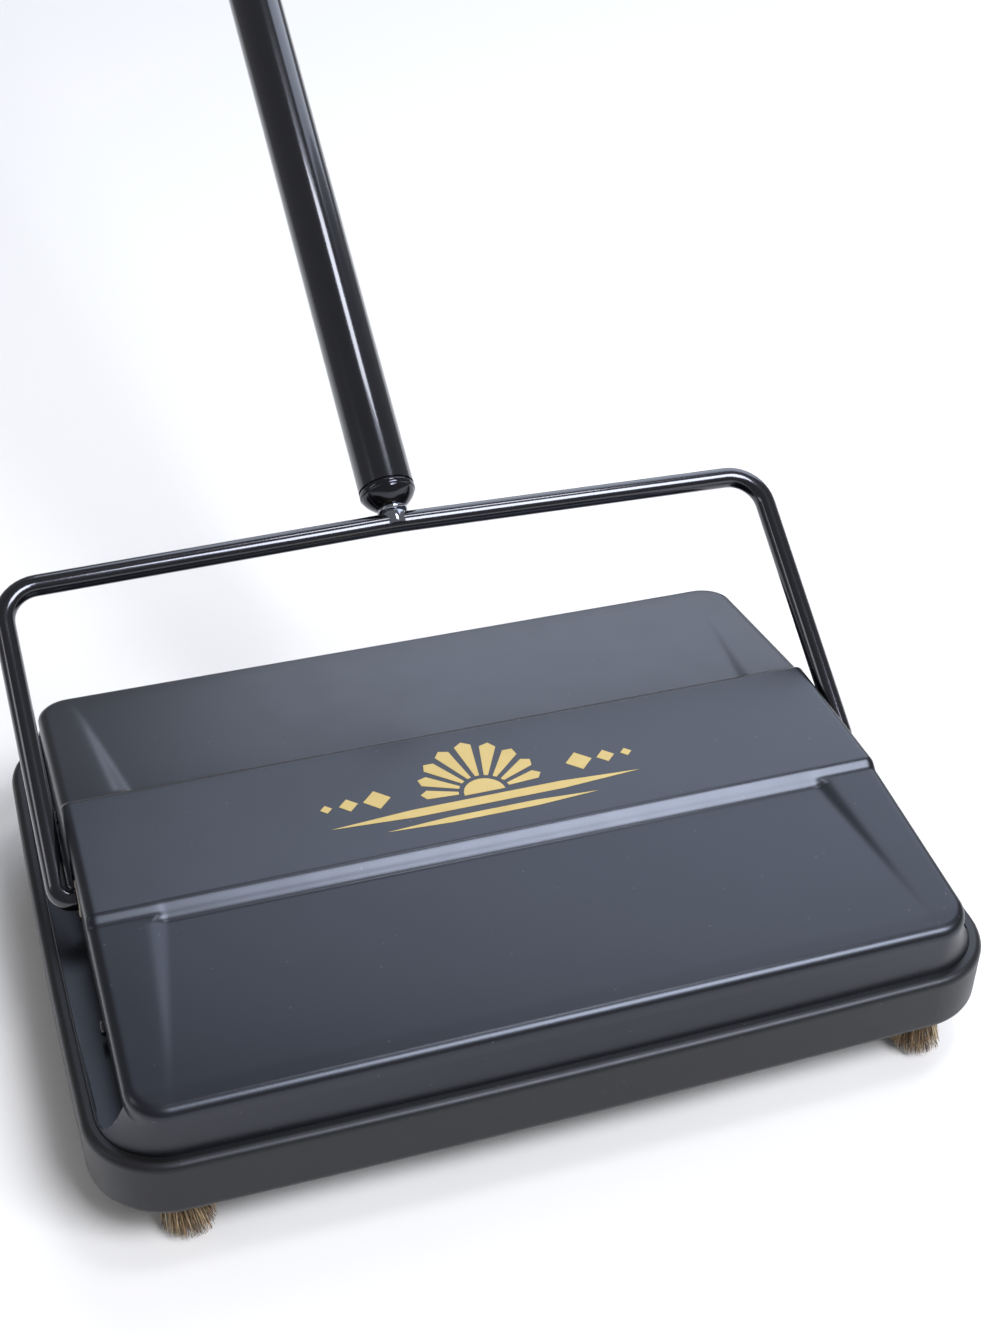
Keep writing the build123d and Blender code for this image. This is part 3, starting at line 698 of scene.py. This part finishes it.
        def strip(t: float) -> np.ndarray:
            """The sloped strip between the wall and the shoulder, with the side channels sunk into it."""
            flat = wall[:, :2] + (skirt - wall[:, :2]) * t
            plain = self.wall_foot - (self.wall_foot - self.shoulder) * t
            to_lip = (1 - t) * width - self.channel_lip
            to_end = self.channel_end - np.abs(flat[:, 1])
            near_lip = np.maximum(self.channel_round - to_lip, 0.0)
            near_end = np.maximum(self.channel_round - to_end, 0.0)
            depth = self.channel_round - np.hypot(near_lip, near_end)
            inside = np.clip((depth + 0.15) / 0.4, 0.0, 1.0)
            share = inside * inside * (3 - 2 * inside)
            return np.column_stack([flat, plain + (self.channel - plain) * share])

        foot = strip(0.0)
        for part in (0.25, 0.5, 0.75, 0.92, 0.98):
            made.append(wall + (foot - wall) * part)
        made += [strip(t) for t in (0.0, 0.03, 0.1, 0.25, 0.4, 0.52, 0.62, 0.7, 0.76, 0.81, 0.85, 0.88, 0.9)]
        made += [strip(t) for t in (0.92, 0.95, 1.0)]
        for height in (34.5, 33.5, 28.0, 22.0, self.skirt_foot):
            made.append(np.column_stack([skirt, np.full(len(skirt), height)]))
        return made

    def arch_cutter(self, side: Side) -> bpy.types.Object:
        """A solid in the shape of the notched opening round the bail's foot.

        Args:
            side: which side wall it cuts.

        Returns:
            The cutter, which is deleted after use.
        """
        foot_z = self.channel + self.arch_foot_gap
        points = (
            (-self.notch_half, self.arch_inner),
            (0.0, self.arch),
            (self.notch_half, self.arch_inner),
        )
        profile = [(self.arch_inner, foot_z)]
        for index in range(self.notches):
            middle = self.notch_step * (index - 0.5)
            for turn, reach in points:
                angle = math.radians(middle + turn)
                profile.append((reach * math.cos(angle), self.pivot + reach * math.sin(angle)))
        profile.append((-self.arch_inner, foot_z))
        shape = bmesh.new()
        near_x = side.value * self.arch_from * MM
        near = [shape.verts.new((near_x, y * MM, z * MM)) for y, z in profile]
        face = shape.faces.new(near)
        pushed = bmesh.ops.extrude_face_region(shape, geom=[face])
        moved = [v for v in pushed["geom"] if isinstance(v, bmesh.types.BMVert)]
        bmesh.ops.translate(shape, verts=moved, vec=(side.value * self.arch_run * MM, 0, 0))
        bmesh.ops.recalc_face_normals(shape, faces=shape.faces)
        mesh = bpy.data.meshes.new("arch_cutter")
        shape.to_mesh(mesh)
        shape.free()
        cutter = bpy.data.objects.new("arch_cutter", mesh)
        bpy.context.scene.collection.objects.link(cutter)
        return cutter

    def build(self) -> bpy.types.Object:
        """Builds the cover as one sheet with its thickness and its notched arches.

        Returns:
            The cover, standing for the frame's own.
        """
        inner_x = self.lid_x - self.edge_round
        inner_y = self.lid_y - self.edge_round
        corner_x = self.lid_x - self.lid_corner
        corner_y = self.lid_y - self.lid_corner
        xs = self.lines(inner_x, [(99.0, corner_x, 0.75), (corner_x, inner_x, 0.8)], 4.0)
        ys = self.lines(
            inner_y,
            [(23.5, 33.0, 0.38), (78.0, corner_y, 0.42), (corner_y, inner_y, 0.5)],
            2.5,
        )
        grid_x, grid_y = np.meshgrid(xs, ys, indexing="ij")
        flat_x, flat_y = self.rounded(grid_x, grid_y, corner_x, corner_y)
        heights = self.roof(flat_x, flat_y)
        columns, rows = len(xs), len(ys)
        points = np.column_stack([flat_x.ravel(), flat_y.ravel(), heights.ravel()])
        faces = [
            (i * rows + j, (i + 1) * rows + j, (i + 1) * rows + j + 1, i * rows + j + 1)
            for i in range(columns - 1)
            for j in range(rows - 1)
        ]
        border = [i * rows for i in range(columns)]
        border += [(columns - 1) * rows + j for j in range(1, rows)]
        border += [i * rows + rows - 1 for i in range(columns - 2, -1, -1)]
        border += [j for j in range(rows - 2, 0, -1)]
        stacked = [points]
        above = border
        start = len(points)
        count = len(border)
        for ring in self.rings(points[border][:, :2]):
            below = list(range(start, start + count))
            for k in range(count):
                after = (k + 1) % count
                faces.append((above[k], below[k], below[after], above[after]))
            stacked.append(ring)
            above = below
            start += count
        cover = mesh_piece("pressed_cover", np.vstack(stacked), faces, "case")
        thick = cover.modifiers.new("sheet", "SOLIDIFY")
        thick.thickness = self.sheet * MM
        thick.offset = -1.0
        cutters = [self.arch_cutter(side) for side in Side]
        for cutter in cutters:
            cut = cover.modifiers.new("arch", "BOOLEAN")
            cut.operation = "DIFFERENCE"
            cut.solver = "EXACT"
            cut.object = cutter
        baked(cover)
        for cutter in cutters:
            bpy.data.objects.remove(cutter)
        cover.data.set_sharp_from_angle(angle=math.radians(50))
        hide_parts("top_cover")
        dress(cover, COVER_ENAMEL.material())
        LOG.info("cover: %d faces", len(cover.data.polygons))
        return cover


@dataclass
class PrintedOrnament:
    """A plain gold ornament printed on the cover's flat band: a fan of bristles over two tapered rules."""

    centre_x: float = 1.0
    centre_y: float = -0.5
    height: float = 62.03
    film: float = 0.03
    fan_inner: float = 8.2
    fan_outer: float = 24.0
    blades: int = 9
    blade_point: float = 1.8
    hub_r: float = 6.6
    fan_drop: float = 6.0

    def outlines(self) -> list[list[tuple[float, float]]]:
        """The ornament's flat shapes, each a list of X, Y corners in millimetres."""
        shapes = []
        for index in range(self.blades):
            middle = math.radians(12 + (180 - 24) * index / (self.blades - 1))
            half = math.radians(6.6)
            reach = self.fan_outer - 1.1 * abs(index - (self.blades - 1) / 2) ** 1.2
            corners = (
                (self.fan_inner, middle - half * 0.7),
                (reach, middle - half),
                (reach + self.blade_point, middle),
                (reach, middle + half),
                (self.fan_inner, middle + half * 0.7),
            )
            shapes.append([(r * math.cos(turn), r * math.sin(turn) - self.fan_drop) for r, turn in corners])
        hub = [math.radians(15 * step) for step in range(13)]
        shapes.append(
            [(self.hub_r * math.cos(turn), self.hub_r * math.sin(turn) - self.fan_drop) for turn in hub]
        )
        shapes.append([(-50, -9.6), (-24, -11.4), (24, -11.4), (50, -9.6), (24, -7.8), (-24, -7.8)])
        shapes.append([(-34, -15.6), (-14, -16.9), (14, -16.9), (34, -15.6), (14, -14.3), (-14, -14.3)])
        for side in Side:
            for place, size in ((33.0, 4.4), (42.0, 3.0), (49.0, 1.9)):
                x = side.value * place
                shapes.append([(x - size, 0.0), (x, -size), (x + size, 0.0), (x, size)])
        return shapes

    def build(self) -> bpy.types.Object:
        """Builds the ornament as one thin film.

        Returns:
            The film, just clear of the band.
        """
        points: list[tuple[float, float, float]] = []
        faces: list[tuple[int, ...]] = []
        for shape in self.outlines():
            first = len(points)
            count = len(shape)
            for lift in (0.0, self.film):
                points += [(self.centre_x + x, self.centre_y + y, self.height + lift) for x, y in shape]
            faces.append(tuple(first + count + k for k in range(count)))
            faces.append(tuple(first + k for k in reversed(range(count))))
            for k in range(count):
                after = (k + 1) % count
                faces.append((first + k, first + after, first + count + after, first + count + k))
        film = mesh_piece("printed_ornament", np.array(points), faces, "case", smooth=False)
        dress(film, GOLD_INK.material())
        LOG.info("ornament: %d shapes", len(self.outlines()))
        return film


# ---------------------------------------------------------------- bristles
@dataclass
class Hair:
    """One bristle: a bent, tapering three-sided spike."""

    root: Vector
    tip: Vector
    bow: Vector
    thick: float
    rings: int = 4

    def add_to(self, points: list, faces: list) -> None:
        """Adds the bristle's points and faces to a mesh in the making.

        Args:
            points: the mesh's points, in millimetres.
            faces: the mesh's faces.
        """
        run = (self.tip - self.root).normalized()
        across = run.orthogonal().normalized()
        up = run.cross(across)
        first = len(points)
        for step in range(self.rings):
            share = step / (self.rings - 1)
            centre = self.root.lerp(self.tip, share) + self.bow * (4 * share * (1 - share))
            width = self.thick * (1.0 - 0.55 * share)
            for corner in range(3):
                angle = 2 * math.pi * corner / 3
                points.append(tuple(centre + (across * math.cos(angle) + up * math.sin(angle)) * width))
        for step in range(self.rings - 1):
            low = first + 3 * step
            for corner in range(3):
                after = (corner + 1) % 3
                faces.append((low + corner, low + after, low + 3 + after, low + 3 + corner))
        end = first + 3 * (self.rings - 1)
        faces.append((end, end + 1, end + 2))


@dataclass
class CornerTuft:
    """A bundle of hog bristle under one corner of the case. Sizes in millimetres."""

    end: End
    side: Side
    place_x: float = 114.0
    place_y: float = 87.0
    root_r: float = 4.7
    root_z: float = 19.0
    tip_r: float = 7.8
    splay: float = 3.0
    sweep: float = 1.2
    hairs: int = 760
    hair_r: float = 0.17

    def build(self) -> bpy.types.Object:
        """Builds the tuft, standing for the frame's solid cone.

        Returns:
            The tuft.
        """
        where = f"{self.end.word}_{self.side.word}"
        dice = random.Random(40 + 2 * self.end.value + self.side.value)
        root = Vector((self.side.value * self.place_x, self.end.value * self.place_y, self.root_z))
        foot_x = root.x - self.side.value * self.splay / 3 + self.sweep
        foot = Vector((foot_x, root.y + self.end.value * self.splay, 0.0))
        points: list = []
        faces: list = []
        for _ in range(self.hairs):
            share = math.sqrt(dice.random())
            angle = dice.uniform(0, 2 * math.pi)
            heading = Vector((math.cos(angle), math.sin(angle), 0.0))
            turned = angle + dice.gauss(0, 0.25)
            spread = min(1.0, max(0.0, share + dice.gauss(0, 0.12)))
            tip = foot + Vector((math.cos(turned), math.sin(turned), 0.0)) * self.tip_r * spread
            tip.z = 0.15 + abs(dice.gauss(0, 1.5)) + 1.8 * spread**3
            start = root + heading * self.root_r * share
            bow = Vector((dice.gauss(0, 0.35), dice.gauss(0, 0.35), 0.0)) - heading * 0.5 * share
            # A real hair is about 0.1 mm in radius; it is drawn at twice that so that single hairs show.
            Hair(start, tip, bow, self.hair_r * dice.uniform(0.6, 1.15), 5).add_to(points, faces)
        tuft = mesh_piece(f"bristle_tuft_{where}", np.array(points), faces, "case")
        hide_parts(f"corner_tuft_{where}")
        dress(tuft, TUFT_HAIR.material())
        dress(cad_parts[f"tuft_socket_{where}"], ZINC_SHEET.material())
        LOG.info("tuft %s: %d hairs", where, self.hairs)
        return tuft


@dataclass
class RollerBrush:
    """The turning brush: a beech core with twisted double rows of bristle tufts, on a steel shaft."""

    axis_z: float = 27.5
    core_r: float = 11.9
    tip_r: float = 26.8
    half_length: float = 106.5
    node_half: float = 108.0
    rows: int = 4
    twist: float = 60.0
    pitch: float = 4.6
    tuft_hairs: int = 11
    hair_r: float = 0.2

    def row(self, index: int) -> bpy.types.Object:
        """Builds one double row, standing for the frame's solid vane.

        Args:
            index: the row's number, from 0.

        Returns:
            The row of bristles.
        """
        dice = random.Random(900 + index)
        points: list = []
        faces: list = []
        count = int(2 * self.half_length / self.pitch)
        for tuft in range(count + 1):
            x = -self.half_length + tuft * 2 * self.half_length / count
            twisted = self.twist * (x + self.node_half) / (2 * self.node_half)
            turn = 360 * index / self.rows - self.twist / 2 + twisted
            for lean in (-1, 1):
                angle = math.radians(turn)
                outward = Vector((0.0, math.cos(angle), math.sin(angle)))
                along = Vector((0.0, -math.sin(angle), math.cos(angle))) * lean
                shift = 0.25 * self.pitch * lean
                base = Vector((x + shift, 0.0, self.axis_z)) + outward * self.core_r + along * 1.1
                top = Vector((x + shift, 0.0, self.axis_z)) + outward * self.tip_r + along * 2.6
                for _ in range(self.tuft_hairs):
                    root = base + Vector((dice.gauss(0, 0.5), 0, 0)) + along * dice.gauss(0, 0.35)
                    sway = max(-1.4, min(1.4, dice.gauss(0, 0.7)))
                    drift = Vector((sway, 0, 0)) + along * dice.gauss(0, 0.4)
                    tip = top + drift - outward * abs(dice.gauss(0, 0.4))
                    bow = Vector((dice.gauss(0, 0.2), 0, 0))
                    Hair(root, tip, bow, self.hair_r * dice.uniform(0.7, 1.1), 3).add_to(points, faces)
        made = mesh_piece(f"bristle_band_{index + 1}", np.array(points), faces, "brush")
        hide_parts(f"bristle_row_{index + 1}")
        return made

    def build(self) -> None:
        """Builds every row and dresses the shaft, core and pulleys."""
        hair = BRUSH_HAIR.material()
        for index in range(self.rows):
            dress(self.row(index), hair)
        dress(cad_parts["brush_core"], CORE_BEECH.material())
        dress(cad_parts["brush_shaft"], DRAWN_STEEL.material())
        pulley = HUB_NYLON.material()
        for side in Side:
            dress(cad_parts[f"drive_pulley_{side.word}"], pulley)
        LOG.info("brush: %d rows", self.rows)


# ---------------------------------------------------------------- carried-over pieces
@dataclass
class Chassis:
    """The case's frame, bumper, wheels, bearings and dust pans."""

    def build(self) -> None:
        """Dresses every carried-over piece of the case."""
        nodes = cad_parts
        zinc = ZINC_SHEET.material()
        drawn = DRAWN_STEEL.material()
        bush = BUSH_NYLON.material()
        hub = HUB_NYLON.material()
        tyre = TYRE_RUBBER.material()
        dress(nodes["furniture_bumper"], BUMPER_RUBBER.material())
        for name in ("frame_rivets", "wheel_axles"):
            dress(nodes[name], drawn)
        dress(nodes["cover_rivets"], GLOSS_ENAMEL.material())
        dress(nodes["axle_clips"], zinc)
        for side in Side:
            dress(nodes[f"end_plate_{side.word}"], zinc)
            dress(nodes[f"bail_bush_{side.word}"], bush)
            dress(nodes[f"brush_bearing_{side.word}"], bush)
        for end in End:
            for name in (f"{end.word}_rail", f"{end.word}_pan", f"{end.word}_pan_tab"):
                dress(nodes[name], zinc)
            for name in (f"{end.word}_hinge_rod", f"{end.word}_pan_spring"):
                dress(nodes[name], drawn)
            for side in Side:
                dress(nodes[f"wheel_hub_{end.word}_{side.word}"], hub)
                dress(nodes[f"wheel_tyre_{end.word}_{side.word}"], tyre)
        LOG.info("chassis: frame, bumper, wheels and pans dressed")


@dataclass
class TurnedPiece:
    """A piece turned about the handle's axis, from its outline in (distance from the pivot, radius) pairs."""

    name: str
    stands_for: str
    slot: str
    outline: list[tuple[float, float]]
    finish: Finish
    closed: bool = False
    facets: int = 96
    pivot: Vector = field(default_factory=lambda: Vector((0.0, 0.0, 46.0)))
    lean: float = 57.3

    def build(self) -> bpy.types.Object:
        """Turns the outline, standing for the frame's plainer piece.

        Returns:
            The turned piece.
        """
        tilt = math.radians(self.lean)
        along = Vector((0.0, math.sin(tilt), math.cos(tilt)))
        across = Vector((1.0, 0.0, 0.0))
        up = along.cross(across)
        points: list = []
        loops: list[list[int]] = []
        for distance, radius in self.outline:
            centre = self.pivot + along * distance
            first = len(points)
            if radius == 0:
                points.append(tuple(centre))
                loops.append([first] * self.facets)
                continue
            for index in range(self.facets):
                angle = 2 * math.pi * index / self.facets
                points.append(tuple(centre + (across * math.cos(angle) + up * math.sin(angle)) * radius))
            loops.append([first + index for index in range(self.facets)])
        pairs = list(zip(loops, loops[1:]))
        if self.closed:
            pairs.append((loops[-1], loops[0]))
        faces = []
        for low, high in pairs:
            for index in range(self.facets):
                after = (index + 1) % self.facets
                corners = (low[index], low[after], high[after], high[index])
                faces.append(tuple(dict.fromkeys(corners)))
        piece = mesh_piece(self.name, np.array(points), faces, "handle")
        shape = bmesh.new()
        shape.from_mesh(piece.data)
        bmesh.ops.recalc_face_normals(shape, faces=shape.faces)
        shape.to_mesh(piece.data)
        shape.free()
        piece.data.set_sharp_from_angle(angle=math.radians(40))
        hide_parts(self.stands_for)
        dress(piece, self.finish.material())
        LOG.info("%s: turned", self.name)
        return piece


@dataclass
class Handle:
    """The bail, its neck and plug, the tubes and the grip. Distances from the pivot, in millimetres."""

    neck_foot: float = 104.5
    neck_r: float = 4.35
    neck_waist: float = 3.8
    ring_place: float = 110.6
    ring_bead: float = 0.95
    ring_r: float = 4.2
    cone_foot: float = 111.3
    tube_r: float = 9.525
    tube_bore_r: float = 9.0

    def neck(self) -> None:
        """Turns the bright neck, its rolled ring and the black plug that closes the tube."""
        waist = [
            (self.neck_foot, 0.0), (self.neck_foot, self.neck_r), (108.9, self.neck_r), (109.4, 4.15),
            (109.8, 3.9), (110.2, self.neck_waist), (112.0, self.neck_waist), (112.0, 0.0),
        ]
        turns = [2 * math.pi * step / 20 for step in range(20)]
        bead = [
            (self.ring_place + self.ring_bead * math.sin(t), self.ring_r + self.ring_bead * math.cos(t))
            for t in turns
        ]
        cone = [
            (self.cone_foot, 0.0), (self.cone_foot, 4.0), (111.4, 4.35), (111.7, 4.85), (112.4, 5.8),
            (113.2, 6.75), (114.0, 7.55), (114.8, 8.25), (115.5, 8.75), (116.0, 9.0), (116.4, 9.12),
            (116.6, 9.2), (116.75, 9.42), (116.95, self.tube_r), (118.15, self.tube_r), (118.4, 9.45),
            (118.55, 9.3), (118.6, self.tube_bore_r), (142.6, self.tube_bore_r), (142.6, 0.0),
        ]
        TurnedPiece("bright_neck", "bail_stud", "chrome", waist, CHROME).build()
        TurnedPiece("rolled_neck_ring", "stud_ring", "chrome", bead, CHROME, closed=True).build()
        TurnedPiece("tube_plug", "handle_plug", "black_plastic", cone, GLOSS_ABS).build()

    def build(self) -> None:
        """Builds the neck and dresses every carried-over piece of the handle."""
        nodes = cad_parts
        enamel = GLOSS_ENAMEL.material()
        self.neck()
        for name in ("bail", "lower_tube", "middle_tube", "upper_tube"):
            dress(nodes[name], enamel)
        dress(nodes["bail_clips"], ZINC_SHEET.material())
        dress(nodes["handle_grip"], GRIP_PLASTIC.material())
        LOG.info("handle: dressed")


# ---------------------------------------------------------------- the studio
@dataclass
class Softbox:
    """A flat soft light that looks at one point."""

    name: str
    place: tuple[float, float, float]
    target: tuple[float, float, float]
    width: float
    height: float
    brightness: float
    colour: str = "#ffffff"

    def build(self) -> None:
        """Adds the light; its power gives its face the stated brightness."""
        light = bpy.data.lights.new(self.name, "AREA")
        light.shape = "RECTANGLE"
        light.size = self.width
        light.size_y = self.height
        light.energy = self.brightness * math.pi * self.width * self.height
        light.color = linear_colour(self.colour)[:3]
        lamp = bpy.data.objects.new(self.name, light)
        lamp.location = self.place
        lamp.rotation_euler = (Vector(self.target) - Vector(self.place)).to_track_quat("-Z", "Y").to_euler()
        bpy.context.scene.collection.objects.link(lamp)


@dataclass
class Studio:
    """The pale floor, the soft lights and the camera."""

    floor_half: float = 6.0
    camera_place: tuple[float, float, float] = (-0.14597, -0.44099, 0.43833)
    camera_rows: tuple[tuple[float, float, float], ...] = (
        (0.9487332473647219, -0.3155452929142377, 0.01834103226259362),
        (-0.16968080634064725, -0.5574091378961903, -0.8127136500326629),
        (0.26667142573657443, 0.7679363392296877, -0.5823745612457063),
    )
    lens: float = 51.74
    sensor: float = 36.0

    def floor(self) -> None:
        """Lays the floor that the sweeper stands on."""
        half = self.floor_half / MM
        corners = [(-half, -half, -0.2), (half, -half, -0.2), (half, half, -0.2), (-half, half, -0.2)]
        mesh = bpy.data.meshes.new("studio_floor")
        mesh.from_pydata((np.array(corners) * MM).tolist(), [], [(0, 1, 2, 3)])
        table = bpy.data.objects.new("studio_floor", mesh)
        bpy.context.scene.collection.objects.link(table)
        dress(table, TABLE_PAINT.material())

    def lights(self) -> None:
        """Hangs the softboxes and sets the room's own light."""
        world = bpy.data.worlds.new("studio_room")
        world.use_nodes = True
        background = world.node_tree.nodes["Background"]
        background.inputs["Color"].default_value = linear_colour("#f8f8ff")
        background.inputs["Strength"].default_value = 0.30
        bpy.context.scene.world = world
        boxes = (
            Softbox("key_softbox", (0.75, -1.2, 1.85), (0.0, 0.0, 0.05), 1.2, 0.9, 17.5, "#f2f5ff"),
            Softbox("rear_softbox", (1.45, 2.3, 2.1), (0.0, 0.0, 0.05), 3.1, 2.8, 2.3, "#e3edff"),
            Softbox("top_softbox", (0.55, 0.15, 2.2), (0.0, 0.15, 0.1), 0.32, 0.5, 15.0, "#f6f8ff"),
            Softbox("left_softbox", (-2.0, 0.1, 1.2), (0.0, 0.0, 0.1), 0.3, 1.1, 3.0),
        )
        for box in boxes:
            box.build()

    def camera(self) -> None:
        """Sets the camera in front of the case, to the left of it and looking down on it."""
        lens = bpy.data.cameras.new("view_camera")
        lens.sensor_fit = "AUTO"
        lens.sensor_width = self.sensor
        lens.lens = self.lens
        lens.clip_start = 0.01
        eye = bpy.data.objects.new("view_camera", lens)
        right, down, ahead = (Vector(row) for row in self.camera_rows)
        turn = Matrix((right, -down, -ahead)).transposed()
        eye.matrix_world = Matrix.Translation(Vector(self.camera_place)) @ turn.to_4x4()
        bpy.context.scene.collection.objects.link(eye)
        bpy.context.scene.camera = eye

    def build(self) -> None:
        """Builds the floor, the lights and the camera."""
        self.camera()
        self.floor()
        self.lights()
        bpy.context.scene.view_settings.view_transform = "Standard"
        LOG.info("studio: ready")


def main() -> None:
    """Builds the studio and every sub-assembly in order."""
    logging.basicConfig(level=logging.INFO, format="%(name)s: %(message)s")
    Studio().build()
    PressedCover().build()
    PrintedOrnament().build()
    Chassis().build()
    RollerBrush().build()
    for end in End:
        for side in Side:
            CornerTuft(end, side).build()
    Handle().build()


if __name__ == "__main__":
    main()
